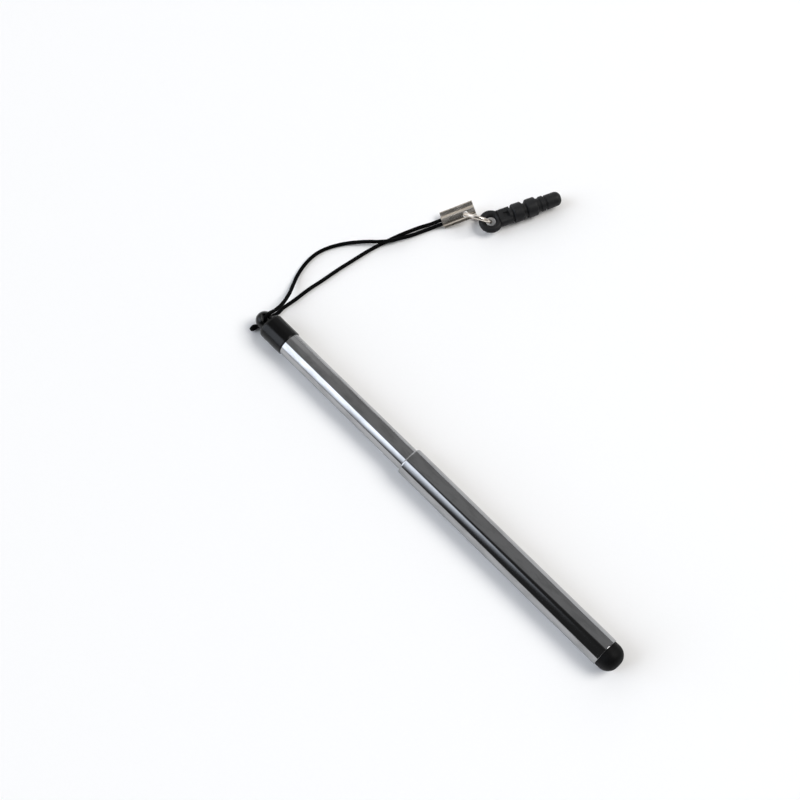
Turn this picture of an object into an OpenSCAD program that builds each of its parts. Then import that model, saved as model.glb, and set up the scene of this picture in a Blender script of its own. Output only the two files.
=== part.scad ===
// Telescopic capacitive stylus with a cord lanyard and a headphone-socket dust plug.
// The pen lies along X with its rubber tip at +X, and rests on the plane z = 0, drawn out to its full length.

/* [Barrel] */
// Outside diameter of the barrel
barrel_d = 6.5; // [6:0.1:8]
// Wall of the barrel
barrel_wall = 0.3; // [0.2:0.05:0.4]
// Length of the barrel from its rolled mouth to its tip end
barrel_length = 56.2; // [52:0.2:80]
// Length of the mouth that is rolled inwards
lip_length = 1; // [0.6:0.1:2]
// Radius of the rolled edge of the mouth
lip_round = 0.4; // [0.2:0.05:0.5]

/* [Inner tube] */
// Wall of the inner tube
tube_wall = 0.35; // [0.25:0.05:0.5]
// Length of inner tube that shows when the pen is drawn out
tube_shown = 36.7; // [20:0.1:38]
// Radial running clearance of the inner tube in the rolled mouth
running_gap = 0.05; // [0.02:0.01:0.09]

/* [Friction shims and stop] */
// Length of the two spring shims that grip the bore of the barrel
shim_length = 8; // [5:0.5:10]
// Thickness of the shims, which with their clearance fill the space between the two tubes
shim_sheet = 0.19; // [0.1:0.01:0.3]
// Radial clearance on each side of a shim
shim_gap = 0.03; // [0.01:0.01:0.04]
// Angle that each shim covers
shim_angle = 160; // [120:5:170]
// Gap left between the shims and the rolled mouth when drawn out
shim_end_gap = 0.1; // [0.05:0.05:0.5]
// Thickness of the flange of the stop plug
stop_flange = 1.2; // [0.8:0.1:2]
// Length of the stem of the stop plug inside the inner tube
stop_stem = 5; // [3:0.5:10]

/* [Rubber tip] */
// Step from the barrel down to the rubber tip
tip_step = 0.2; // [0.05:0.05:0.5]
// Length of the rubber tip past the barrel
tip_length = 3.75; // [3.4:0.05:6]
// Radius of the round front of the rubber tip
tip_round = 2.6; // [1.5:0.1:2.6]
// Thickness of the rubber at the front
tip_wall = 0.8; // [0.5:0.1:1]
// Length of the tip holder inside the barrel
holder_length = 8; // [4:0.5:9]
// Diameter of the post that holds the rubber tip
post_d = 3.4; // [2.4:0.1:3.8]
// Length of the post up to its head
post_length = 1.5; // [1:0.1:1.6]
// Diameter of the head of the post
post_head_d = 4.2; // [3.9:0.1:4.6]
// Thickness of the head of the post
post_head = 0.6; // [0.4:0.1:0.8]

/* [End cap] */
// Step from the inner tube up to the end cap
cap_step = 0.25; // [0.1:0.05:0.5]
// Length of the end cap without its knob
cap_length = 6.5; // [4:0.1:12]
// Radius of the shoulder of the end cap
cap_round = 0.8; // [0.3:0.1:1]
// Length of the stem of the end cap inside the inner tube
cap_stem = 6; // [3:0.5:12]
// Diameter of the ball knob
knob_d = 4; // [3.6:0.1:4.2]
// Distance of the knob's centre from the end of the cap
knob_rise = 1.3; // [1.2:0.1:2]
// Diameter of the upright eyelet through the knob
eyelet_d = 2; // [1.9:0.1:2.2]
// Distance of the eyelet from the knob's centre, towards the cap
eyelet_shift = 0.2; // [0:0.05:0.4]

/* [Cord] */
// Diameter of the lanyard cord
cord_d = 0.85; // [0.7:0.05:0.9]

/* [Crimp ferrule] */
// Length of the ferrule
ferrule_length = 7.7; // [7:0.1:10]
// Width of the ferrule
ferrule_w = 3.8; // [3.6:0.1:5]
// Sheet thickness of the ferrule
ferrule_wall = 0.25; // [0.2:0.05:0.5]
// Clearance between the sheet and the cord at the crimp
crimp_gap = 0.05; // [0.02:0.01:0.1]
// Width of the lower leaf's lip that stands out past the fold's open side
flap_lip = 0.4; // [0.1:0.05:0.6]
// Open seam between the two leaves
seam_gap = 0.3; // [0.2:0.05:0.6]
// Diameter of the ferrule's cross hole
ferrule_hole_d = 1.4; // [1.3:0.05:2.1]
// Distance of the cross hole from the ferrule's mouth
ferrule_hole_x = 5.5; // [4.9:0.1:6]
// Distance of the cross hole from the middle of the arch, towards the open side
ferrule_hole_side = 0.3; // [0:0.05:0.4]
// Length of cord held inside the ferrule
crimp_depth = 4; // [2:0.1:4]

/* [Jump ring] */
// Mean diameter of the jump ring
ring_d = 5.9; // [5.8:0.05:6.4]
// Diameter of the ring's wire
wire_d = 0.85; // [0.6:0.05:0.9]
// Angle of the split in the ring
split_angle = 4; // [2:1:10]

/* [Dust plug] */
// Mean diameter of the plug's eye
eye_d = 3.85; // [3.4:0.05:4.2]
// Thickness of the eye's round section
eye_section = 1.6; // [1.2:0.05:1.65]
// Distance from the eye's centre to the start of the first rib
rib_start = 5.2; // [4.4:0.05:6]
// Diameter of the two rubber ribs
rib_d = 4.3; // [3.8:0.05:4.4]
// Length of each rib
rib_length = 2.4; // [1.6:0.1:3]
// Length of the groove after each rib
rib_groove = 0.9; // [0.4:0.1:1.5]
// Edge radius of the ribs
rib_round = 0.4; // [0.1:0.05:0.5]
// Diameter of the plug's stem in the grooves
stem_d = 3.1; // [2.6:0.1:3.4]
// Width of the flattened neck behind the eye
neck_w = 4.1; // [3.4:0.1:4.2]
// Height of the flattened neck behind the eye
neck_h = 2.2; // [1.8:0.1:3]
// Diameter of the small collar ahead of the ribs
collar_d = 3.5; // [3.4:0.05:3.6]
// Length of the small collar
collar_length = 0.9; // [0.6:0.1:2]
// Diameter of the bullet nose
bullet_d = 3.3; // [3:0.05:3.4]
// Length of the bullet nose
bullet_length = 3.6; // [2.4:0.1:5]
// Length of the narrow groove behind the bullet nose
bullet_groove = 0.5; // [0.3:0.1:1]
// Diameter of the narrow groove behind the bullet nose
bullet_groove_d = 2.9; // [2.4:0.1:2.9]
// Radius of the round front of the bullet nose
bullet_round = 1.3; // [0.6:0.1:1.4]
// Length and width of the small pocket on the neck
neck_pocket = 1.2; // [0.6:0.1:1.4]
// Depth of the small pocket on the neck
neck_pocket_depth = 0.3; // [0.1:0.05:0.5]

/* [Hidden] */
$fn = 64;

// Radial gap of parts that are pressed into one another
press_gap = 0.01;
// Edge radius of cut tube ends and plain corners
edge_round = 0.1;

// Stations along the pen, from the tip to the knob, with the origin half way
pen_length = tip_length + barrel_length + tube_shown + cap_length + knob_rise + knob_d / 2;
tip_end_x = pen_length / 2;
barrel_front_x = tip_end_x - tip_length;
mouth_x = barrel_front_x - barrel_length;
cap_rim_x = mouth_x - tube_shown;
cap_end_x = cap_rim_x - cap_length;
knob_x = cap_end_x - knob_rise;
eyelet_x = knob_x + eyelet_shift;
shim_x = mouth_x + lip_length + shim_end_gap;
stop_x = shim_x + shim_length;

// Radii and diameters that fit into one another
axis_z = barrel_d / 2;
bore_r = barrel_d / 2 - barrel_wall;
tube_d = 2 * (bore_r - shim_sheet - 2 * shim_gap);
tip_d = barrel_d - 2 * tip_step;
cap_d = tube_d + 2 * cap_step;
tube_bore_r = tube_d / 2 - tube_wall;
mouth_r = tube_d / 2 + running_gap;
stop_r = bore_r - running_gap;

// Half the distance between the two cord ends, and the height of cord on the plane and across other cord
lane = cord_d / 2 + 0.025;
floor_z = cord_d / 2 + 0.025;
over_z = floor_z + cord_d + 0.1;

// Ferrule and ring: the ring stands on the plane and leans towards -Y at its top, and the ferrule rises
// to it and is rolled so that its cross hole faces along the ring's wire
ferrule_h = cord_d + 2 * crimp_gap + 2 * ferrule_wall;
arch_inner_w = 2 * lane + cord_d + 2 * crimp_gap;
arch_w = arch_inner_w + 2 * ferrule_wall;
ferrule_mouth = [9.13, 44.88, 1.45];
ferrule_yaw = 60;
ferrule_roll = 20;
ring_r = ring_d / 2;
ring_yaw = 27;
ring_lean = 65;
ring_z = ring_r * sin(ring_lean) + wire_d / 2;
hole_drop = ferrule_hole_side * sin(ferrule_roll);
hole_reach = norm([ferrule_hole_x, hole_drop]);
ferrule_pitch = asin((ring_z - ferrule_mouth[2]) / hole_reach) + atan2(hole_drop, ferrule_hole_x);
ring_dir = [cos(ring_yaw), sin(ring_yaw), 0];
ring_up = [sin(ring_yaw) * cos(ring_lean), -cos(ring_yaw) * cos(ring_lean), sin(ring_lean)];
ring_set_back = 0.1;
ring_centre = ferrule_point([ferrule_hole_x, -ferrule_hole_side, 0]) + (ring_r - ring_set_back) * ring_dir;

// Plug: its ribs lie on the plane and its eye hangs on the ring where the wire is at the eye's height
plug_yaw = 67;
eye_slack = 0.2;
eye_angle = -asin((ring_z - rib_d / 2) / (ring_r * sin(ring_lean)));
eye_wire = ring_centre + ring_r * (cos(eye_angle) * ring_dir + sin(eye_angle) * ring_up);
eye_centre = eye_wire + eye_slack * [cos(plug_yaw), sin(plug_yaw), 0];
rib2_start = rib_start + rib_length + rib_groove;
collar_start = rib2_start + rib_length + rib_groove;
bullet_start = collar_start + collar_length + bullet_groove;
bullet_end = bullet_start + bullet_length;

// Points of the cord's loop through the knob, measured from the eyelet in X and Y and from the plane in Z:
// over the knob's edge and down through the eyelet, out to a fold on the plane and back under the knob
knob_top = axis_z + knob_d / 2;
knob_foot = axis_z - knob_d / 2;
fold_y = -2.35;
fold_r = (cord_d + 0.4) / 2;
fold_top = floor_z + 2 * fold_r;
fold_drift = [-1.33, -1.45, -1.5, -1.5, -1.46];
loop_in = [
    [0.1, 3.6, knob_top - 0.85], [0.18, 2.35, knob_top - 0.2], [0.12, 1.25, knob_top + 0.25],
    [0.05, 0.45, knob_top], [0, 0.08, knob_top - 0.85], [0, 0, axis_z]
];
loop_down = [
    [-0.04, -0.06, knob_foot + 0.9], [-0.13, -0.22, knob_foot + 0.3], [-0.42, -0.7, knob_foot - 0.2],
    [-0.8, -1.32, knob_foot - 0.12], [-1.12, -1.9, fold_top - 0.2]
];
loop_fold = [for (i = [0:len(fold_drift) - 1])
    let (a = 180 * i / (len(fold_drift) - 1))
    [fold_drift[i], fold_y - fold_r * sin(a), floor_z + fold_r * (1 + cos(a))]];
loop_out = [
    [-1.42, -1.9, floor_z], [-1.35, -1, floor_z], [-1.22, 0, floor_z], [-1, 1.6, floor_z],
    [-0.7, 3, floor_z], [-0.5, 4.1, floor_z]
];
loop_points = concat(loop_in, loop_down, loop_fold, loop_out);
loop_steps = 2;

// Points of the two strands, measured from the eyelet in X and Y and from the plane in Z; the first
// comes down from the eyelet, bows out and crosses over the second, which lies on the plane
strand_a_points = [
    [-0.25, 5, 3.65], [-0.7, 6.3, 2.95], [-1.74, 8.6, 1.85], [-3, 10.78, 1], [-4.07, 12.93, 0.55],
    [-4.78, 15.16, floor_z], [-5.13, 17.36, floor_z], [-5.09, 19.66, floor_z], [-4.54, 21.96, floor_z],
    [-3.53, 24.19, floor_z], [-2.15, 26.35, 0.55], [-0.5, 28.2, 0.9], [1.2, 29.9, 1.2], [2.9, 31.5, over_z],
    [4.4, 33.4, over_z], [5.5, 35.7, 1], [6.5, 38.1, 0.6], [7.45, 40.5, 0.5], [8.4, 42.7, 0.6]
];
strand_b_points = [
    [-0.6, 5.4, floor_z], [-0.42, 7, floor_z], [-0.18, 9.06, floor_z], [-0.06, 11.2, floor_z],
    [0.16, 13.36, floor_z], [0.51, 15.66, floor_z], [0.8, 18, floor_z], [1.1, 20.4, floor_z],
    [1.5, 22.9, floor_z], [1.9, 25.3, floor_z], [2.3, 27.7, floor_z], [2.8, 30, floor_z],
    [3.4, 32.3, floor_z], [4, 34.4, floor_z], [4.6, 36.3, floor_z], [5.4, 38.5, floor_z],
    [6.4, 40.9, 0.5], [7.6, 43, 0.85]
];
cord_sides = 8;

// A point of the ferrule's own frame, placed on the lanyard
function ferrule_point(p) =
    let (
        c = cos(ferrule_pitch),
        s = sin(ferrule_pitch),
        side = p[1] * cos(ferrule_roll) - p[2] * sin(ferrule_roll),
        rise = p[1] * sin(ferrule_roll) + p[2] * cos(ferrule_roll),
        along = p[0] * c - rise * s,
        high = p[0] * s + rise * c
    )
    ferrule_mouth + [
        along * cos(ferrule_yaw) - side * sin(ferrule_yaw),
        along * sin(ferrule_yaw) + side * cos(ferrule_yaw),
        high
    ];

function unit(v) = v / norm(v);

// Point between p1 and p2 of a smooth curve through four points
function curve_point(p0, p1, p2, p3, t) =
    0.5 * (2 * p1 + (p2 - p0) * t + (2 * p0 - 5 * p1 + 4 * p2 - p3) * t * t
        + (3 * p1 - p0 - 3 * p2 + p3) * t * t * t);

// Points of a smooth curve through a list, with the given number of steps from point to point
function curve(points, steps) =
    let (last = len(points) - 1)
    concat(
        [for (i = [0:last - 1], k = [0:steps - 1])
            let (after = min(i + 2, last))
            curve_point(points[max(i - 1, 0)], points[i], points[i + 1], points[after], k / steps)],
        [points[last]]
    );

// Directions along a list of points
function headings(points) =
    let (last = len(points) - 1)
    [for (i = [0:last]) unit(points[min(i + 1, last)] - points[max(i - 1, 0)])];

// Side directions that follow the route without twisting
function sides(heads, found) =
    let (i = len(found))
    i == len(heads) ? found
    : sides(heads, concat(found, [unit(found[i - 1] - heads[i] * (found[i - 1] * heads[i]))]));

// Closed tube along a list of points
module cord_tube(points) {
    heads = headings(points);
    flat = unit(cross(heads[0], [0, 0, 1]));
    across = sides(heads, [flat]);
    rings = len(points);
    corners = [for (i = [0:rings - 1], k = [0:cord_sides - 1])
        let (a = 360 * (k + 0.5) / cord_sides)
        points[i] + cord_d / 2 * (cos(a) * across[i] + sin(a) * cross(across[i], heads[i]))];
    walls = [for (i = [0:rings - 2], k = [0:cord_sides - 1], half = [0, 1])
        let (
            a = i * cord_sides + k,
            b = i * cord_sides + (k + 1) % cord_sides
        )
        half == 0 ? [a, b, b + cord_sides] : [a, b + cord_sides, a + cord_sides]];
    first = [for (k = [cord_sides - 1:-1:0]) k];
    final = [for (k = [0:cord_sides - 1]) (rings - 1) * cord_sides + k];
    polyhedron(corners, concat(walls, [first, final]));
}

// Round bar along X with a rounded edge at each end
module bead(x0, x1, r, back, front) {
    length = x1 - x0;
    translate([x0, 0, 0]) rotate([0, 90, 0]) rotate_extrude() {
        square([r - back, back]);
        translate([0, back]) square([r, length - back - front]);
        translate([0, length - front]) square([r - front, front]);
        translate([r - back, back]) intersection() {
            circle(back);
            translate([0, -back]) square(back);
        }
        translate([r - front, length - front]) intersection() {
            circle(front);
            square(front);
        }
    }
}

// Plain round bar along X
module bar(x0, x1, r) {
    translate([x0, 0, 0]) rotate([0, 90, 0]) cylinder(h = x1 - x0, r = r);
}

module on_axis() {
    translate([0, 0, axis_z]) children();
}

module on_lanyard() {
    translate([eyelet_x, 0, 0]) children();
}

module outer_tube() {
    over = 1;
    color("silver") on_axis() difference() {
        bead(mouth_x, barrel_front_x, barrel_d / 2, lip_round, edge_round);
        bar(mouth_x - over, barrel_front_x + over, mouth_r);
        bar(mouth_x + lip_length, barrel_front_x + over, bore_r);
    }
}

module tip_holder() {
    head_x = barrel_front_x + post_length;
    color("goldenrod") on_axis() {
        bar(barrel_front_x - holder_length, barrel_front_x, bore_r - press_gap);
        bar(barrel_front_x - edge_round, head_x + edge_round, post_d / 2);
        bead(head_x, head_x + post_head, post_head_d / 2, edge_round, edge_round);
    }
}

module rubber_tip() {
    over = 1;
    head_x = barrel_front_x + post_length;
    hollow_r = post_head_d / 2 + press_gap;
    hollow_round = (tip_end_x - tip_wall - head_x) / 2;
    color("black") on_axis() difference() {
        bead(barrel_front_x, tip_end_x, tip_d / 2, edge_round, tip_round);
        bar(barrel_front_x - over, head_x + edge_round, post_d / 2 + press_gap);
        bead(head_x - press_gap, tip_end_x - tip_wall, hollow_r, edge_round / 2, hollow_round);
    }
}

// Half-round leaf between the inner tube and the barrel's bore, turned about the pen
module shim(turn) {
    inner_r = tube_d / 2 + shim_gap;
    color("darkgoldenrod") on_axis() translate([shim_x, 0, 0]) rotate([turn, 0, 0]) rotate([0, 90, 0])
        rotate([0, 0, -shim_angle / 2]) rotate_extrude(angle = shim_angle)
            translate([inner_r, 0]) square([shim_sheet, shim_length]);
}

module shim_left() {
    shim(90);
}

module shim_right() {
    shim(-90);
}

module stop_plug() {
    color("goldenrod") on_axis() {
        bar(stop_x - stop_stem, stop_x + edge_round, tube_bore_r - press_gap);
        bead(stop_x, stop_x + stop_flange, stop_r, edge_round, edge_round);
    }
}

module inner_tube() {
    over = 1;
    color("gainsboro") on_axis() difference() {
        bar(cap_rim_x, stop_x, tube_d / 2);
        bar(cap_rim_x - over, stop_x + over, tube_bore_r);
    }
}

module end_cap() {
    color("black") on_axis() difference() {
        union() {
            bead(cap_end_x, cap_rim_x, cap_d / 2, cap_round, cap_step);
            bar(cap_rim_x - cap_step, cap_rim_x + cap_stem, tube_bore_r - press_gap);
            translate([knob_x, 0, 0]) sphere(d = knob_d);
        }
        translate([eyelet_x, 0, 0]) cylinder(h = 2 * knob_d, d = eyelet_d, center = true);
    }
}

module cord_loop() {
    color("black") on_lanyard() cord_tube(curve(loop_points, loop_steps));
}

// Free strand from one end of the loop to its end inside the ferrule, at one side of the arch
module strand(start, points, side) {
    mouth = ferrule_point([0, side * lane, 0]);
    end = ferrule_point([crimp_depth, side * lane, 0]);
    color("black") on_lanyard() cord_tube(concat([start], points, [mouth, end]));
}

module cord_strand_a() {
    strand(loop_points[0], strand_a_points, -1);
}

module cord_strand_b() {
    strand(loop_points[len(loop_points) - 1], strand_b_points, 1);
}

// Flat tube outline with half-round sides
module flat_tube(w, h) {
    square([w - h, h], center = true);
    for (side = [-1, 1])
        translate([side * (w - h) / 2, 0]) circle(d = h);
}

// Section of the folded sheet: a lower leaf with a lip, a far fold, and an upper leaf that arches over
// the two cord ends
module ferrule_section() {
    base = -ferrule_h / 2;
    lip = -arch_w / 2 - flap_lip;
    fold = lip + ferrule_w - ferrule_wall;
    difference() {
        union() {
            translate([lip, base]) square([fold - lip, ferrule_wall]);
            translate([0, base]) square([fold, 2 * ferrule_wall]);
            translate([fold, base + ferrule_wall]) circle(ferrule_wall);
            flat_tube(arch_w, ferrule_h);
        }
        flat_tube(arch_inner_w, ferrule_h - 2 * ferrule_wall);
        translate([lip, base + ferrule_wall]) square([-lane - lip, seam_gap]);
    }
}

module crimp_ferrule() {
    color("gray") on_lanyard() translate(ferrule_mouth) rotate([0, -ferrule_pitch, ferrule_yaw])
        rotate([ferrule_roll, 0, 0]) difference() {
            rotate([90, 0, 90]) linear_extrude(ferrule_length) ferrule_section();
            translate([ferrule_hole_x, -ferrule_hole_side, -ferrule_h])
                cylinder(h = 2 * ferrule_h, d = ferrule_hole_d);
        }
}

module jump_ring() {
    split_start = 90 + split_angle / 2;
    color("lightgray") on_lanyard() translate(ring_centre) rotate([-ring_lean, 0, ring_yaw])
        rotate([0, 0, split_start]) rotate_extrude(angle = 360 - split_angle)
            translate([ring_r, 0]) circle(d = wire_d);
}

module dust_plug() {
    neck_start = eye_d / 2;
    neck_end = rib_start - rib_groove / 2;
    pocket_x = neck_end - 1.5 * neck_pocket;
    color("dimgray") on_lanyard() translate(eye_centre) rotate([0, 0, plug_yaw]) {
        rotate_extrude() translate([eye_d / 2, 0]) circle(d = eye_section);
        difference() {
            translate([neck_start, 0, 0]) rotate([90, 0, 90]) linear_extrude(neck_end - neck_start)
                flat_tube(neck_w, neck_h);
            translate([pocket_x, -neck_pocket / 2, neck_h / 2 - neck_pocket_depth])
                cube([neck_pocket, neck_pocket, 2 * neck_pocket_depth]);
        }
        bar(rib_start - rib_groove, collar_start + edge_round, stem_d / 2);
        for (start = [rib_start, rib2_start])
            bead(start, start + rib_length, rib_d / 2, rib_round, rib_round);
        bead(collar_start, collar_start + collar_length, collar_d / 2, edge_round, edge_round);
        bar(collar_start, bullet_start + edge_round, bullet_groove_d / 2);
        bead(bullet_start, bullet_end, bullet_d / 2, edge_round, bullet_round);
    }
}

outer_tube();
tip_holder();
rubber_tip();
shim_left();
shim_right();
stop_plug();
inner_tube();
end_cap();
cord_loop();
cord_strand_a();
cord_strand_b();
crimp_ferrule();
jump_ring();
dust_plug();
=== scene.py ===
"""Telescopic stylus with a cord lanyard and a rubber dust plug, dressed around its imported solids.

The pen lies along X with its rubber tip at +X and rests on the plane z = 0. Sizes are written in
millimetres, as in the part's source, and turned into metres where a mesh is made.
"""

import logging
import math
from dataclasses import dataclass
from enum import Enum
from itertools import accumulate

import bpy
import numpy as np
from mathutils import Matrix, Vector


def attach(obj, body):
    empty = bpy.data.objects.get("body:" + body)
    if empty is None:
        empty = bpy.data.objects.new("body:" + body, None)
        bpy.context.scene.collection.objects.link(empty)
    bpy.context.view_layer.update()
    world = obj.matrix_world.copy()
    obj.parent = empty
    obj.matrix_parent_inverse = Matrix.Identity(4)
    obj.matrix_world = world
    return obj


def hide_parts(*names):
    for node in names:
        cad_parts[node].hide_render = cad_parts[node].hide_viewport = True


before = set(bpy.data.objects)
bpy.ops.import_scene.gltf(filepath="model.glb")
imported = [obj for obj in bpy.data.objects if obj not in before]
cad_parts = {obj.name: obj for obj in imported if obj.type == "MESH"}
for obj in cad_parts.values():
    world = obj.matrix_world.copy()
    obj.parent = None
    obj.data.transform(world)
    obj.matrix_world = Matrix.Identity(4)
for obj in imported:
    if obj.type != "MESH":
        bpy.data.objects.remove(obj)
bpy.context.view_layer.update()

MM = 0.001
Socket = bpy.types.NodeSocket
Sockets = bpy.types.bpy_prop_collection
Pair = tuple[float, float]
Triple = tuple[float, float, float]
Colour = tuple[float, float, float, float]
log = logging.getLogger("stylus")

# Whole range of a share
WHOLE = (0.0, 1.0)
# Sockets of the Mix node's two colours and of its mixed colour, which follow those of numbers and vectors
MIX_FIRST = 6
MIX_SECOND = 7
MIX_RESULT = 2
# Corners of a face in the wall of a swept tube
WALL_CORNERS = 4
# Steps of the fine grid between two points of a smooth route
FINE_STEPS = 40
# Direction of the ferrule, in degrees
FERRULE_YAW = 60.0
FERRULE_PITCH = 18.508
FERRULE_ROLL = 20.0


class Body(Enum):
    """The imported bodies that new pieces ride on."""

    EXTENSION = "extension"


class Slot(Enum):
    """A material slot name for the cord, which nothing in this script reads."""

    CORD = "cord_fabric"


# Wiring of shader nodes


class Wiring:
    """Adds nodes to one node tree and joins them."""

    def __init__(self, tree: bpy.types.NodeTree) -> None:
        """Takes the node tree to work on."""
        self.tree = tree

    def add(self, kind: str, **settings: object) -> bpy.types.Node:
        """Adds one node.

        Args:
            kind: Blender's name for the kind of node.
            settings: Properties of the node by name.

        Returns:
            The new node.
        """
        node = self.tree.nodes.new(kind)
        for name, value in settings.items():
            setattr(node, name, value)
        return node

    def feed(self, target: Socket, source: object) -> None:
        """Links a socket to an input, or sets the input to a number, vector or colour."""
        if isinstance(source, bpy.types.NodeSocket):
            self.tree.links.new(source, target)
        else:
            target.default_value = source

    def math(self, operation: str, first: object, second: object) -> Socket:
        """Adds a Math node.

        Args:
            operation: Blender's name for the operation.
            first: First socket or number.
            second: Second socket or number.

        Returns:
            The node's result.
        """
        node = self.add("ShaderNodeMath", operation=operation)
        self.feed(node.inputs[0], first)
        self.feed(node.inputs[1], second)
        return node.outputs[0]

    def span(self, value: Socket, band: Pair, start: object = 0.0, end: object = 1.0) -> Socket:
        """Maps a value smoothly from a band to a new range and keeps it inside.

        Args:
            value: Socket to map.
            band: The value where the new range starts and the value where it ends.
            start: Result at the start of the band.
            end: Result at the end of the band.

        Returns:
            The mapped value.
        """
        node = self.add("ShaderNodeMapRange", interpolation_type="SMOOTHSTEP")
        names = ("Value", "From Min", "From Max", "To Min", "To Max")
        for name, source in zip(names, (value, *band, start, end)):
            self.feed(node.inputs[name], source)
        return node.outputs["Result"]

    def mix(self, share: object, first: object, second: object) -> Socket:
        """Mixes two colours.

        Args:
            share: Share of the second colour, from 0 to 1.
            first: First colour.
            second: Second colour.

        Returns:
            The mixed colour.
        """
        node = self.add("ShaderNodeMix", data_type="RGBA")
        self.feed(node.inputs[0], share)
        self.feed(node.inputs[MIX_FIRST], first)
        self.feed(node.inputs[MIX_SECOND], second)
        return node.outputs[MIX_RESULT]

    def noise(self, coords: Socket, detail: float, roughness: float = 0.5) -> Socket:
        """Adds a Noise texture with one feature per unit of its coordinates.

        Args:
            coords: Coordinates, already scaled to the size of the features.
            detail: Number of finer layers.
            roughness: Strength of the finer layers.

        Returns:
            The noise, around 0.5.
        """
        node = self.add("ShaderNodeTexNoise")
        self.feed(node.inputs["Vector"], coords)
        self.feed(node.inputs["Scale"], 1.0)
        self.feed(node.inputs["Detail"], detail)
        self.feed(node.inputs["Roughness"], roughness)
        return node.outputs["Fac"]

    def sized(self, coords: Socket, size: Triple, turn: Triple = (0.0, 0.0, 0.0)) -> Socket:
        """Scales coordinates so that a feature has the given size.

        Args:
            coords: Coordinates in metres.
            size: Size of a feature along each axis, in millimetres.
            turn: Rotation of those axes, in degrees.

        Returns:
            Coordinates that count features.
        """
        node = self.add("ShaderNodeMapping", vector_type="TEXTURE")
        self.feed(node.inputs["Vector"], coords)
        self.feed(node.inputs["Rotation"], [math.radians(angle) for angle in turn])
        self.feed(node.inputs["Scale"], [length * MM for length in size])
        return node.outputs["Vector"]


class Effect(Enum):
    """Shader effects that several finishes share, each one node group."""

    GRAIN = "moulded_grain"
    STREAKS = "drawn_streaks"
    DUST = "settled_dust"


# Noise level where a drawn line turns into a scratch
SCRATCH_BAND = (0.66, 0.72)
# Distance from a speck's middle, in specks, over which it fades in
SPECK_BAND = (0.3, 0.12)
# Patches of dust per speck, along a line, and the noise level over which a patch fades in
PATCH_SCALE = 0.15
PATCH_BAND = (0.45, 0.7)


def new_group(effect: Effect, inputs: list[str], outputs: list[str]) -> tuple[Wiring, Sockets, Sockets]:
    """Starts a node group with a vector input, number inputs and number outputs.

    Args:
        effect: Effect that names the group.
        inputs: Names of the number inputs after the vector.
        outputs: Names of the number outputs.

    Returns:
        The group's wiring, its input node's outputs and its output node's inputs.
    """
    tree = bpy.data.node_groups.new(effect.value, "ShaderNodeTree")
    tree.interface.new_socket("Vector", in_out="INPUT", socket_type="NodeSocketVector")
    for name in inputs:
        tree.interface.new_socket(name, in_out="INPUT", socket_type="NodeSocketFloat")
    for name in outputs:
        tree.interface.new_socket(name, in_out="OUTPUT", socket_type="NodeSocketFloat")
    wiring = Wiring(tree)
    return wiring, wiring.add("NodeGroupInput").outputs, wiring.add("NodeGroupOutput").inputs


def make_grain() -> None:
    """Builds the grain of a moulded surface: fine noise for its height and broad noise for its gloss."""
    wiring, given, result = new_group(Effect.GRAIN, ["Mottle"], ["Height", "Gloss"])
    fine = wiring.noise(given["Vector"], detail=4.0, roughness=0.6)
    broad = wiring.add("ShaderNodeVectorMath", operation="SCALE")
    wiring.feed(broad.inputs[0], given["Vector"])
    wiring.feed(broad.inputs["Scale"], given["Mottle"])
    wiring.feed(result["Height"], fine)
    wiring.feed(result["Gloss"], wiring.noise(broad.outputs[0], detail=2.0))


def make_streaks() -> None:
    """Builds the marks of drawn and polished metal: lines along the draw and a few deeper scratches."""
    wiring, given, result = new_group(Effect.STREAKS, ["Scratches"], ["Height", "Mask"])
    lines = wiring.noise(given["Vector"], detail=3.0, roughness=0.65)
    scratch = wiring.span(lines, SCRATCH_BAND, end=given["Scratches"])
    wiring.feed(result["Height"], wiring.math("SUBTRACT", lines, scratch))
    wiring.feed(result["Mask"], scratch)


def make_dust() -> None:
    """Builds settled dust: small specks, denser where a broad noise is high."""
    wiring, given, result = new_group(Effect.DUST, ["Amount"], ["Mask"])
    specks = wiring.add("ShaderNodeTexVoronoi", feature="F1")
    wiring.feed(specks.inputs["Vector"], given["Vector"])
    wiring.feed(specks.inputs["Scale"], 1.0)
    dots = wiring.span(specks.outputs["Distance"], SPECK_BAND)
    patches = wiring.add("ShaderNodeVectorMath", operation="SCALE")
    wiring.feed(patches.inputs[0], given["Vector"])
    wiring.feed(patches.inputs["Scale"], PATCH_SCALE)
    where = wiring.span(wiring.noise(patches.outputs[0], detail=2.0), PATCH_BAND)
    settled = wiring.math("MULTIPLY", dots, where)
    wiring.feed(result["Mask"], wiring.math("MULTIPLY", settled, given["Amount"]))


def place_effect(wiring: Wiring, effect: Effect, coords: Socket, value: float) -> bpy.types.Node:
    """Places a shared effect in a material.

    Args:
        wiring: Wiring of the material.
        effect: Effect to place.
        coords: Coordinates scaled to the size of its features.
        value: The effect's own number.

    Returns:
        The group node.
    """
    node = wiring.add("ShaderNodeGroup")
    node.node_tree = bpy.data.node_groups[effect.value]
    wiring.feed(node.inputs["Vector"], coords)
    wiring.feed(node.inputs[1], value)
    return node


# Finishes


def colour(red: float, green: float, blue: float) -> Colour:
    """Gives an opaque linear colour."""
    return (red, green, blue, 1.0)


def grey(level: float) -> Colour:
    """Gives an opaque linear grey."""
    return colour(level, level, level)


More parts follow.
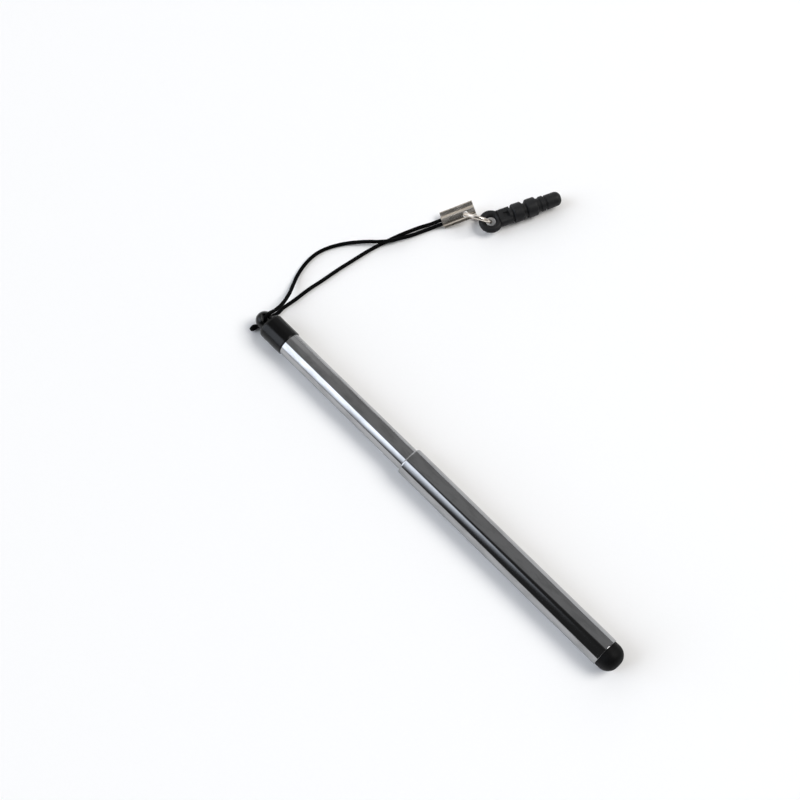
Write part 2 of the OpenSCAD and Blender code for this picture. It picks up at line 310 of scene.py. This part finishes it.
def start_material(name: str) -> tuple[bpy.types.Material, Wiring, bpy.types.Node, Socket]:
    """Starts a material with its shader.

    Args:
        name: Name of the material.

    Returns:
        The material, its wiring, its Principled shader and the object coordinates.
    """
    material = bpy.data.materials.new(name)
    material.use_nodes = True
    material.node_tree.nodes.clear()
    wiring = Wiring(material.node_tree)
    shader = wiring.add("ShaderNodeBsdfPrincipled")
    output = wiring.add("ShaderNodeOutputMaterial")
    wiring.feed(output.inputs["Surface"], shader.outputs["BSDF"])
    return material, wiring, shader, wiring.add("ShaderNodeTexCoord").outputs["Object"]


def add_bump(wiring: Wiring, shader: bpy.types.Node, height: Socket, depth: float) -> None:
    """Gives a shader a bump of the given depth in millimetres."""
    bump = wiring.add("ShaderNodeBump")
    wiring.feed(bump.inputs["Height"], height)
    wiring.feed(bump.inputs["Distance"], depth * MM)
    wiring.feed(shader.inputs["Normal"], bump.outputs["Normal"])


def add_gloss(wiring: Wiring, shader: bpy.types.Node, noise: Socket, band: Pair, limits: Pair) -> None:
    """Varies a shader's roughness with a noise.

    Args:
        wiring: Wiring of the material.
        shader: Its Principled shader.
        noise: Noise that the roughness follows.
        band: Noise levels where the change starts and ends.
        limits: Roughness at the start and at the end.
    """
    wiring.feed(shader.inputs["Roughness"], wiring.span(noise, band, *limits))


@dataclass(frozen=True)
class PolishedMetal:
    """Bare or plated metal with marks along one direction.

    Sizes are in millimetres; turn is the direction of the marks as a rotation of X, in degrees.
    """

    name: str
    tint: Triple
    scratch_tint: Triple
    roughness: float
    line_size: Triple
    line_depth: float
    scratches: float
    turn: Triple = (0.0, 0.0, 0.0)
    smudge_size: float = 1.6
    smudge_stretch: float = 3.0
    smudge_band: Pair = (0.42, 0.7)
    dull_band: Pair = (0.35, 0.7)
    clean_share: float = 0.8
    dull_share: float = 1.4

    def make(self) -> bpy.types.Material:
        """Builds the material: streaks in its height and colour, smudges in its colour and gloss."""
        material, wiring, shader, coords = start_material(self.name)
        along = wiring.sized(coords, self.line_size, self.turn)
        streaks = place_effect(wiring, Effect.STREAKS, along, self.scratches)
        smudge = (self.smudge_stretch * self.smudge_size, self.smudge_size, self.smudge_size)
        smudges = wiring.noise(wiring.sized(coords, smudge, self.turn), detail=4.0, roughness=0.6)
        shader.inputs["Metallic"].default_value = 1.0
        marks = wiring.math("MAXIMUM", streaks.outputs["Mask"], wiring.span(smudges, self.smudge_band))
        tone = wiring.mix(marks, colour(*self.tint), colour(*self.scratch_tint))
        wiring.feed(shader.inputs["Base Color"], tone)
        limits = (self.clean_share * self.roughness, self.dull_share * self.roughness)
        add_gloss(wiring, shader, smudges, self.dull_band, limits)
        add_bump(wiring, shader, streaks.outputs["Height"], self.line_depth)
        return material


@dataclass(frozen=True)
class MouldedBlack:
    """Black rubber or plastic with the fine grain of its mould and a little dust. Sizes in millimetres."""

    name: str
    tint: Triple
    dust_tint: Triple
    roughness: float
    specular: float
    grain_size: float
    grain_depth: float
    dust: float
    dust_size: float = 0.35
    mottle: float = 0.04
    gloss_band: Pair = (0.3, 0.7)
    smooth_share: float = 0.85
    rough_share: float = 1.15

    def make(self) -> bpy.types.Material:
        """Builds the material: grain in its height, broad noise in its gloss, dust in its colour."""
        material, wiring, shader, coords = start_material(self.name)
        grain = place_effect(wiring, Effect.GRAIN, wiring.sized(coords, (self.grain_size,) * 3), self.mottle)
        dust = place_effect(wiring, Effect.DUST, wiring.sized(coords, (self.dust_size,) * 3), self.dust)
        tone = wiring.mix(dust.outputs["Mask"], colour(*self.tint), colour(*self.dust_tint))
        wiring.feed(shader.inputs["Base Color"], tone)
        limits = (self.smooth_share * self.roughness, self.rough_share * self.roughness)
        add_gloss(wiring, shader, grain.outputs["Gloss"], self.gloss_band, limits)
        shader.inputs["Specular IOR Level"].default_value = self.specular
        add_bump(wiring, shader, grain.outputs["Height"], self.grain_depth)
        return material


@dataclass(frozen=True)
class BraidedNylon:
    """Braided cord whose filaments follow the cord's own map, in millimetres along it and turns round it.

    Other sizes are in millimetres.
    """

    name: str
    tint: Triple
    worn_tint: Triple
    roughness: float
    specular: float
    filament_depth: float
    filaments: Triple = (6.0, 0.02, 1.0)
    wear_size: float = 2.0
    wear_band: Pair = (0.4, 0.75)
    gloss_band: Pair = (0.3, 0.7)
    smooth_share: float = 0.85

    def make(self) -> bpy.types.Material:
        """Builds the material: filament lines in its height and slightly greyer worn patches."""
        material, wiring, shader, coords = start_material(self.name)
        along = wiring.add("ShaderNodeMapping", vector_type="TEXTURE")
        route = wiring.add("ShaderNodeUVMap", uv_map=Lanyard.MAP_NAME)
        wiring.feed(along.inputs["Vector"], route.outputs["UV"])
        wiring.feed(along.inputs["Scale"], self.filaments)
        lines = wiring.noise(along.outputs["Vector"], detail=2.0)
        wear = wiring.noise(wiring.sized(coords, (self.wear_size,) * 3), detail=3.0)
        worn = wiring.span(wear, self.wear_band)
        tone = wiring.mix(worn, colour(*self.tint), colour(*self.worn_tint))
        wiring.feed(shader.inputs["Base Color"], tone)
        limits = (self.smooth_share * self.roughness, self.roughness)
        add_gloss(wiring, shader, lines, self.gloss_band, limits)
        shader.inputs["Specular IOR Level"].default_value = self.specular
        add_bump(wiring, shader, lines, self.filament_depth)
        return material


# Size of a drawn line on the chrome, along the tube and across it, in millimetres
CHROME_LINES = (14.0, 0.07, 0.07)

BARREL_CHROME = PolishedMetal(
    name="barrel_chrome",
    tint=(0.36, 0.363, 0.37),
    scratch_tint=(0.28, 0.282, 0.287),
    roughness=0.07,
    line_size=CHROME_LINES,
    line_depth=0.0004,
    scratches=0.5,
)
TUBE_CHROME = PolishedMetal(
    name="tube_chrome",
    tint=(0.39, 0.393, 0.4),
    scratch_tint=(0.305, 0.307, 0.312),
    roughness=0.06,
    line_size=CHROME_LINES,
    line_depth=0.0003,
    scratches=0.4,
)
FERRULE_NICKEL = PolishedMetal(
    name="ferrule_nickel",
    tint=(0.5, 0.45, 0.385),
    scratch_tint=(0.44, 0.39, 0.33),
    roughness=0.26,
    line_size=(6.0, 0.1, 0.1),
    line_depth=0.0006,
    scratches=0.2,
    turn=(FERRULE_ROLL, -FERRULE_PITCH, FERRULE_YAW),
)
RING_NICKEL = PolishedMetal(
    name="ring_nickel",
    tint=(0.76, 0.7, 0.63),
    scratch_tint=(0.6, 0.54, 0.47),
    roughness=0.26,
    line_size=(0.5, 0.5, 0.5),
    line_depth=0.0006,
    scratches=0.15,
)
TURNED_BRASS = PolishedMetal(
    name="turned_brass",
    tint=(0.74, 0.56, 0.26),
    scratch_tint=(0.55, 0.39, 0.16),
    roughness=0.2,
    line_size=(0.06, 3.0, 3.0),
    line_depth=0.002,
    scratches=0.5,
)
SPRING_BRASS = PolishedMetal(
    name="spring_brass",
    tint=(0.68, 0.5, 0.22),
    scratch_tint=(0.5, 0.35, 0.14),
    roughness=0.26,
    line_size=(6.0, 0.08, 0.08),
    line_depth=0.002,
    scratches=0.7,
)
TIP_RUBBER = MouldedBlack(
    name="tip_rubber",
    tint=(0.002, 0.002, 0.0022),
    dust_tint=(0.012, 0.012, 0.012),
    roughness=0.55,
    specular=0.12,
    grain_size=0.09,
    grain_depth=0.004,
    dust=0.4,
)
CAP_PLASTIC = MouldedBlack(
    name="cap_plastic",
    tint=(0.002, 0.002, 0.0022),
    dust_tint=(0.02, 0.02, 0.021),
    roughness=0.2,
    specular=0.2,
    grain_size=0.14,
    grain_depth=0.002,
    dust=0.3,
)
PLUG_RUBBER = MouldedBlack(
    name="plug_rubber",
    tint=(0.009, 0.0094, 0.0105),
    dust_tint=(0.04, 0.04, 0.042),
    roughness=0.55,
    specular=0.25,
    grain_size=0.08,
    grain_depth=0.008,
    dust=0.6,
)
CORD_NYLON = BraidedNylon(
    name="cord_nylon",
    tint=(0.0015, 0.0015, 0.0017),
    worn_tint=(0.003, 0.003, 0.0034),
    roughness=0.75,
    specular=0.05,
    filament_depth=0.006,
)


def dress_node(node: str, material: bpy.types.Material) -> None:
    """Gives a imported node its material.

    Args:
        node: Name of the node.
        material: Material for all of it.
    """
    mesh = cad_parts[node].data
    mesh.materials.clear()
    mesh.materials.append(material)
    log.info("%s dressed in %s", node, material.name)


# Sub-assemblies


def smooth_route(points: np.ndarray, step: float) -> np.ndarray:
    """Carries a smooth line through points and spaces it evenly.

    Between two points the line is the cubic whose slope at each point is half the way from the
    point before to the point after (a Catmull-Rom curve). It is worked out on a fine grid, and then
    read again at equal steps of its own length.

    Args:
        points: Points of the route, one per row.
        step: Distance between the new points.

    Returns:
        Points of the smooth line, one per row.
    """
    padded = np.vstack([points[:1], points, points[-1:]])
    before, first, second, after = padded[:-3], padded[1:-2], padded[2:-1], padded[3:]
    t = np.linspace(0.0, 1.0, FINE_STEPS, endpoint=False)[None, :, None]
    cubic = 0.5 * (
        2.0 * first[:, None]
        + (second - before)[:, None] * t
        + (2.0 * before - 5.0 * first + 4.0 * second - after)[:, None] * t**2
        + (3.0 * first - before - 3.0 * second + after)[:, None] * t**3
    )
    fine = np.vstack([cubic.reshape(-1, 3), points[-1:]])
    travelled = np.concatenate([[0.0], np.cumsum(np.linalg.norm(np.diff(fine, axis=0), axis=1))])
    stations = np.linspace(0.0, travelled[-1], round(travelled[-1] / step) + 1)
    return np.stack([np.interp(stations, travelled, fine[:, axis]) for axis in range(3)], axis=1)


def route_frames(route: np.ndarray) -> tuple[np.ndarray, np.ndarray]:
    """Gives each point of a route two directions across it that don't twist along it.

    Each side direction is the one before it with its part along the route taken out.

    Args:
        route: Points of the route, one per row.

    Returns:
        Side directions and the directions square to them, one per row.
    """
    heads = np.gradient(route, axis=0)
    heads /= np.linalg.norm(heads, axis=1, keepdims=True)
    start = np.cross(heads[0], (0.0, 0.0, 1.0))
    start /= np.linalg.norm(start)

    def carry(side: np.ndarray, head: np.ndarray) -> np.ndarray:
        """Turns one side direction into the next."""
        square = side - head * (side @ head)
        return square / np.linalg.norm(square)

    sides = np.array(list(accumulate(heads[1:], carry, initial=start)))
    return sides, np.cross(sides, heads)


def mesh_object(
    name: str, vertices: np.ndarray, faces: list[list[int]], material: bpy.types.Material
) -> bpy.types.Object:
    """Makes a smooth-shaded mesh object at the origin.

    Args:
        name: Name of the piece.
        vertices: Vertices in metres, one per row.
        faces: Faces as lists of vertex numbers.
        material: Material of the piece.

    Returns:
        The new object.
    """
    mesh = bpy.data.meshes.new(name)
    mesh.from_pydata(vertices.tolist(), [], faces)
    mesh.polygons.foreach_set("use_smooth", np.ones(len(mesh.polygons), bool))
    mesh.materials.append(material)
    mesh.update()
    piece = bpy.data.objects.new(name, mesh)
    bpy.context.scene.collection.objects.link(piece)
    return piece


@dataclass
class Lanyard:
    """One braided cord: looped through the knob's eyelet, both ends crimped in the ferrule. Millimetres."""

    MAP_NAME = "along_cord"

    cord_d: float = 0.85
    eyelet_x: float = -51.025
    axis_z: float = 3.25
    lane: float = 0.45
    floor_z: float = 0.45
    over_z: float = 1.4
    knob_r: float = 2.0
    fold_y: float = -2.35
    fold_r: float = 0.625
    ferrule_mouth: Triple = (9.13, 44.88, 1.45)
    crimp_depth: float = 4.0
    step: float = 0.1
    around: int = 24
    yarns: int = 4
    yarn_lay: float = 2.2
    yarn_relief: float = 0.09

    def loop(self) -> np.ndarray:
        """Gives the loop's points: over the knob, down the eyelet, out to a fold and back under the knob."""
        axis, low = self.axis_z, self.floor_z
        top, foot = axis + self.knob_r, axis - self.knob_r
        # X of the fold's points, from its upper end to its lower end
        drift = np.array([-1.33, -1.45, -1.5, -1.5, -1.46])
        angle = np.linspace(0.0, np.pi, drift.size)
        fold_y = self.fold_y - self.fold_r * np.sin(angle)
        fold_z = low + self.fold_r * (1.0 + np.cos(angle))
        into = [
            [0.1, 3.6, top - 0.85], [0.18, 2.35, top - 0.2], [0.12, 1.25, top + 0.25],
            [0.05, 0.45, top], [0, 0.08, top - 0.85], [0, 0, axis],
        ]
        down = [
            [-0.04, -0.06, foot + 0.9], [-0.13, -0.22, foot + 0.3], [-0.42, -0.7, foot - 0.2],
            [-0.8, -1.32, foot - 0.12], [-1.12, -1.9, fold_z[0] - 0.2],
        ]
        out = [
            [-1.42, -1.9, low], [-1.35, -1, low], [-1.22, 0, low], [-1, 1.6, low], [-0.7, 3, low],
            [-0.5, 4.1, low],
        ]
        return np.vstack([into, down, np.stack([drift, fold_y, fold_z], axis=1), out])

    def strand_a(self) -> np.ndarray:
        """Gives the free strand that comes down from the eyelet, bows out and crosses over the other."""
        low, over = self.floor_z, self.over_z
        return np.array([
            [-0.25, 5, 3.65], [-0.7, 6.3, 2.95], [-1.74, 8.6, 1.85], [-3, 10.78, 1], [-4.07, 12.93, 0.55],
            [-4.78, 15.16, low], [-5.13, 17.36, low], [-5.09, 19.66, low], [-4.54, 21.96, low],
            [-3.53, 24.19, low], [-2.15, 26.35, 0.55], [-0.5, 28.2, 0.9], [1.2, 29.9, 1.2],
            [2.9, 31.5, over], [4.4, 33.4, over], [5.5, 35.7, 1], [6.5, 38.1, 0.6], [7.45, 40.5, 0.5],
            [8.4, 42.7, 0.6],
        ])

    def strand_b(self) -> np.ndarray:
        """Gives the free strand that lies on the table."""
        low = self.floor_z
        return np.array([
            [-0.6, 5.4, low], [-0.42, 7, low], [-0.18, 9.06, low], [-0.06, 11.2, low],
            [0.16, 13.36, low], [0.51, 15.66, low], [0.8, 18, low], [1.1, 20.4, low],
            [1.5, 22.9, low], [1.9, 25.3, low], [2.3, 27.7, low], [2.8, 30, low],
            [3.4, 32.3, low], [4, 34.4, low], [4.6, 36.3, low], [5.4, 38.5, low],
            [6.4, 40.9, 0.5], [7.6, 43, 0.85],
        ])

    def crimped(self, side: int) -> np.ndarray:
        """Gives the two points of one strand inside the ferrule, at its mouth and at its end."""
        turn = Matrix.Rotation(math.radians(FERRULE_YAW), 3, "Z")
        turn = turn @ Matrix.Rotation(-math.radians(FERRULE_PITCH), 3, "Y")
        turn = np.array(turn @ Matrix.Rotation(math.radians(FERRULE_ROLL), 3, "X"))
        own = np.array([[0, side * self.lane, 0], [self.crimp_depth, side * self.lane, 0]])
        return self.ferrule_mouth + own @ turn.T

    def route(self) -> np.ndarray:
        """Gives the whole cord's even line in millimetres, from one crimped end to the other."""
        one_way = np.vstack([self.strand_a(), self.crimped(-1)])
        other_way = np.vstack([self.strand_b(), self.crimped(1)])
        points = np.vstack([one_way[::-1], self.loop(), other_way])
        return smooth_route(points + (self.eyelet_x, 0, 0), self.step)

    def build(self, finish: BraidedNylon) -> bpy.types.Object:
        """Builds the braided tube.

        Around the cord and along it run two sets of helical yarns, one set each way. The radius at a
        point is the cord's radius less the relief, plus the relief times the higher of the two sets
        there, and a set's height is the size of a cosine across its yarns.

        Args:
            finish: Finish of the cord.

        Returns:
            The cord's object.
        """
        route = self.route()
        sides, ups = route_frames(route)
        along = np.arange(len(route))[:, None] * self.step
        angle = np.linspace(0.0, 2.0 * np.pi, self.around, endpoint=False)[None, :]
        turns = 2.0 * np.pi * along / self.yarn_lay
        left = np.abs(np.cos(0.5 * (self.yarns * angle + turns)))
        right = np.abs(np.cos(0.5 * (self.yarns * angle - turns)))
        radius = self.cord_d / 2 - self.yarn_relief * (1.0 - np.maximum(left, right))
        ring = np.cos(angle)[..., None] * sides[:, None] + np.sin(angle)[..., None] * ups[:, None]
        vertices = (route[:, None] + radius[..., None] * ring).reshape(-1, 3) * MM
        numbers = np.arange(route.shape[0] * self.around).reshape(-1, self.around)
        nexts = np.roll(numbers, -1, axis=1)
        # The corners go along the cord first and then round it, so that each face points outwards
        wall = np.stack([numbers[:-1], numbers[1:], nexts[1:], nexts[:-1]], axis=-1)
        faces = wall.reshape(-1, WALL_CORNERS).tolist() + [numbers[0].tolist(), numbers[-1][::-1].tolist()]
        piece = mesh_object("lanyard_cord", vertices, faces, finish.make())
        self.map_cord(piece.data)
        self.declare(piece)
        return piece

    def map_cord(self, mesh: bpy.types.Mesh) -> None:
        """Lays a map on the cord: its length in millimetres along U and its turn along V.

        A face of the wall that goes from a ring's last place back to its first counts on to a full turn.

        Args:
            mesh: The cord's mesh, with its rings in order.
        """
        corners = np.empty(len(mesh.loops), np.int32)
        mesh.loops.foreach_get("vertex_index", corners)
        ring, place = np.divmod(corners, self.around)
        wide = np.empty(len(mesh.polygons), np.int32)
        mesh.polygons.foreach_get("loop_total", wide)
        in_wall = np.repeat(wide == WALL_CORNERS, wide)
        first_in_face = np.repeat(np.cumsum(wide) - wide, wide)
        wraps = in_wall & (place == 0) & (place[first_in_face] == self.around - 1)
        spread = np.stack([ring * self.step, (place + wraps * self.around) / self.around], axis=1)
        layer = mesh.uv_layers.new(name=self.MAP_NAME)
        layer.uv.foreach_set("vector", spread.astype(np.float32).ravel())

    def declare(self, piece: bpy.types.Object) -> None:
        """Hangs the cord on the body that it moves with and hides the imported cord pieces that it stands
        for.

        Args:
            piece: The cord's object.
        """
        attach(piece, Body.EXTENSION.value)
        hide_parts("cord_loop", "cord_strand_a", "cord_strand_b")


@dataclass
class Pen:
    """The two tubes and what is fixed in them."""

    barrel: PolishedMetal = BARREL_CHROME
    tube: PolishedMetal = TUBE_CHROME
    turned: PolishedMetal = TURNED_BRASS
    sprung: PolishedMetal = SPRING_BRASS
    tip: MouldedBlack = TIP_RUBBER
    cap: MouldedBlack = CAP_PLASTIC

    def dress(self) -> None:
        """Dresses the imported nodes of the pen."""
        turned, sprung = self.turned.make(), self.sprung.make()
        dress_node("outer_tube", self.barrel.make())
        dress_node("inner_tube", self.tube.make())
        dress_node("rubber_tip", self.tip.make())
        dress_node("end_cap", self.cap.make())
        for node in ("tip_holder", "stop_plug"):
            dress_node(node, turned)
        for node in ("shim_left", "shim_right"):
            dress_node(node, sprung)


@dataclass
class DustPlugSet:
    """The ferrule, the jump ring and the dust plug at the end of the lanyard."""

    ferrule: PolishedMetal = FERRULE_NICKEL
    ring: PolishedMetal = RING_NICKEL
    plug: MouldedBlack = PLUG_RUBBER

    def dress(self) -> None:
        """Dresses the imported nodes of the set."""
        dress_node("crimp_ferrule", self.ferrule.make())
        dress_node("jump_ring", self.ring.make())
        dress_node("dust_plug", self.plug.make())


# Studio


@dataclass(frozen=True)
class SoftBox:
    """A rectangular soft light that faces the object.

    The place and the size are in millimetres. The radiance is that of its face, where 1 is white, and the
    tint is the share of it in red, green and blue.
    """

    name: str
    place: Triple
    size: Pair
    radiance: float
    tint: Triple

    def build(self, target: Vector) -> None:
        """Hangs the light so that it faces a point.

        Args:
            target: Point in metres that it faces.
        """
        width, height = (side * MM for side in self.size)
        data = bpy.data.lights.new(self.name, "AREA")
        data.shape = "RECTANGLE"
        data.size, data.size_y = width, height
        data.energy = math.pi * width * height * self.radiance
        data.color = self.tint
        lamp = bpy.data.objects.new(self.name, data)
        bpy.context.scene.collection.objects.link(lamp)
        lamp.location = Vector(self.place) * MM
        lamp.rotation_euler = (target - lamp.location).to_track_quat("-Z", "Y").to_euler()
        lamp.visible_camera = False
        log.info("%s hung", self.name)


KEY_LIGHT = SoftBox(
    name="key_light",
    place=(1440.0, 2000.0, 3160.0),
    size=(2000.0, 2000.0),
    radiance=8.0,
    tint=(1.0, 0.98, 0.955),
)


@dataclass
class Studio:
    """Floor, light, world and camera of the photograph.

    Sizes, places and the camera's clip distances are in millimetres. The world is set by direction: a pair
    whose name ends in x, y or z is the share of that axis in a direction where a part of the room starts to
    show and where it shows fully. The brightness of each part is a number, or a colour for the screen, where
    1 is white.
    """

    camera_at: Triple = (62.150, -69.560, 305.616)
    looks_at: Triple = (-18.513, 8.951, 0.0)
    camera_right: Triple = (0.69750, 0.71659, 0.0)
    lens: float = 68.35
    sensor: float = 36.0
    clip: Pair = (10.0, 20000.0)
    floor_reach: float = 4000.0
    floor_drop: float = 0.01
    floor_tint: float = 0.98
    fibre_size: float = 0.6
    fibre_gain: float = 1.02
    floor_roughness: float = 0.9
    floor_specular: float = 0.1
    grey_above: float = 0.31
    pale_window: float = 0.62
    window_x: Pair = (-0.25, -0.36)
    window_y: Pair = (0.4, 0.65)
    pale_end: float = 1.0
    pale_end_x: Pair = (-0.46, -0.62)
    dark_end: float = 0.08
    dark_end_x: Pair = (0.46, 0.62)
    black_side: float = 0.033
    black_x: Pair = (0.5, 0.3)
    black_y: Pair = (0.3, 0.13)
    black_skew: float = 2.4
    white_screen: Triple = (2.92, 3.12, 3.45)
    screen_x: Pair = (-0.2, -0.47)
    screen_y: Pair = (-0.33, -0.48)
    screen_slant: float = 0.19
    grey_horizon: float = 0.3
    horizon_z: Pair = (0.1, 0.03)

    def build(self) -> None:
        """Builds the whole studio."""
        self.build_camera()
        self.build_floor()
        self.build_world()
        KEY_LIGHT.build(Vector(self.looks_at) * MM)
        bpy.context.scene.view_settings.view_transform = "Standard"

    def build_camera(self) -> None:
        """Builds the camera at the photograph's viewing angle."""
        data = bpy.data.cameras.new("camera")
        data.lens, data.sensor_width = self.lens, self.sensor
        data.clip_start, data.clip_end = (distance * MM for distance in self.clip)
        camera = bpy.data.objects.new("camera", data)
        bpy.context.scene.collection.objects.link(camera)
        place = Vector(self.camera_at) * MM
        back = (place - Vector(self.looks_at) * MM).normalized()
        right = Vector(self.camera_right).normalized()
        up = back.cross(right)
        turn = Matrix((right, up, back)).transposed()
        camera.matrix_world = Matrix.Translation(place) @ turn.to_4x4()
        bpy.context.scene.camera = camera

    def build_floor(self) -> None:
        """Builds the pale floor, a square that the object stands on."""
        reach = self.floor_reach * MM
        corner = np.array([[-1, -1, 0], [1, -1, 0], [1, 1, 0], [-1, 1, 0]], float) * reach
        material, wiring, shader, coords = start_material("pale_paper")
        fibre = wiring.noise(wiring.sized(coords, (self.fibre_size,) * 3), detail=3.0)
        tone = wiring.mix(fibre, grey(self.floor_tint), grey(self.floor_tint * self.fibre_gain))
        wiring.feed(shader.inputs["Base Color"], tone)
        shader.inputs["Roughness"].default_value = self.floor_roughness
        shader.inputs["Specular IOR Level"].default_value = self.floor_specular
        floor = mesh_object("floor", corner - (0, 0, self.floor_drop * MM), [[0, 1, 2, 3]], material)

    def build_world(self) -> None:
        """Builds the room as a light that changes with direction.

        It is grey overhead, pale beyond the cap and dark beyond the tip, with a window beside the cap. One
        side is black, with a large cool white screen in its corner whose free edge is soft and slants. Close
        to the horizon and below it, all of it is one grey.
        """
        world = bpy.data.worlds.new("room")
        world.use_nodes = True
        world.node_tree.nodes.clear()
        wiring = Wiring(world.node_tree)
        toward = wiring.add("ShaderNodeSeparateXYZ")
        wiring.feed(toward.inputs[0], wiring.add("ShaderNodeTexCoord").outputs["Generated"])
        x, y, z = (toward.outputs[axis] for axis in ("X", "Y", "Z"))
        window = wiring.math("MULTIPLY", wiring.span(x, self.window_x), wiring.span(y, self.window_y))
        overhead = wiring.span(window, WHOLE, self.grey_above, self.pale_window)
        overhead = wiring.span(x, self.pale_end_x, overhead, self.pale_end)
        overhead = wiring.span(x, self.dark_end_x, overhead, self.dark_end)
        skew = wiring.math("MULTIPLY", wiring.math("MINIMUM", x, 0.0), self.black_skew)
        sideways = wiring.span(wiring.math("SUBTRACT", y, skew), self.black_y)
        shaded = wiring.math("MULTIPLY", sideways, wiring.span(x, self.black_x))
        room = wiring.span(shaded, WHOLE, overhead, self.black_side)
        slant = wiring.math("SUBTRACT", x, wiring.math("MULTIPLY", z, self.screen_slant))
        screen = wiring.math("MULTIPLY", wiring.span(slant, self.screen_x), wiring.span(y, self.screen_y))
        lit = wiring.mix(wiring.span(screen, WHOLE), room, colour(*self.white_screen))
        light = wiring.mix(wiring.span(z, self.horizon_z), lit, grey(self.grey_horizon))
        background = wiring.add("ShaderNodeBackground")
        wiring.feed(background.inputs["Color"], light)
        output = wiring.add("ShaderNodeOutputWorld")
        wiring.feed(output.inputs["Surface"], background.outputs["Background"])
        bpy.context.scene.world = world


def main() -> None:
    """Builds the shared effects, the studio and the cord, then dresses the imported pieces."""
    logging.basicConfig(level=logging.INFO, format="%(message)s")
    for make in (make_grain, make_streaks, make_dust):
        make()
    Studio().build()
    Lanyard().build(CORD_NYLON)
    Pen().dress()
    DustPlugSet().dress()


if __name__ == "__main__":
    main()
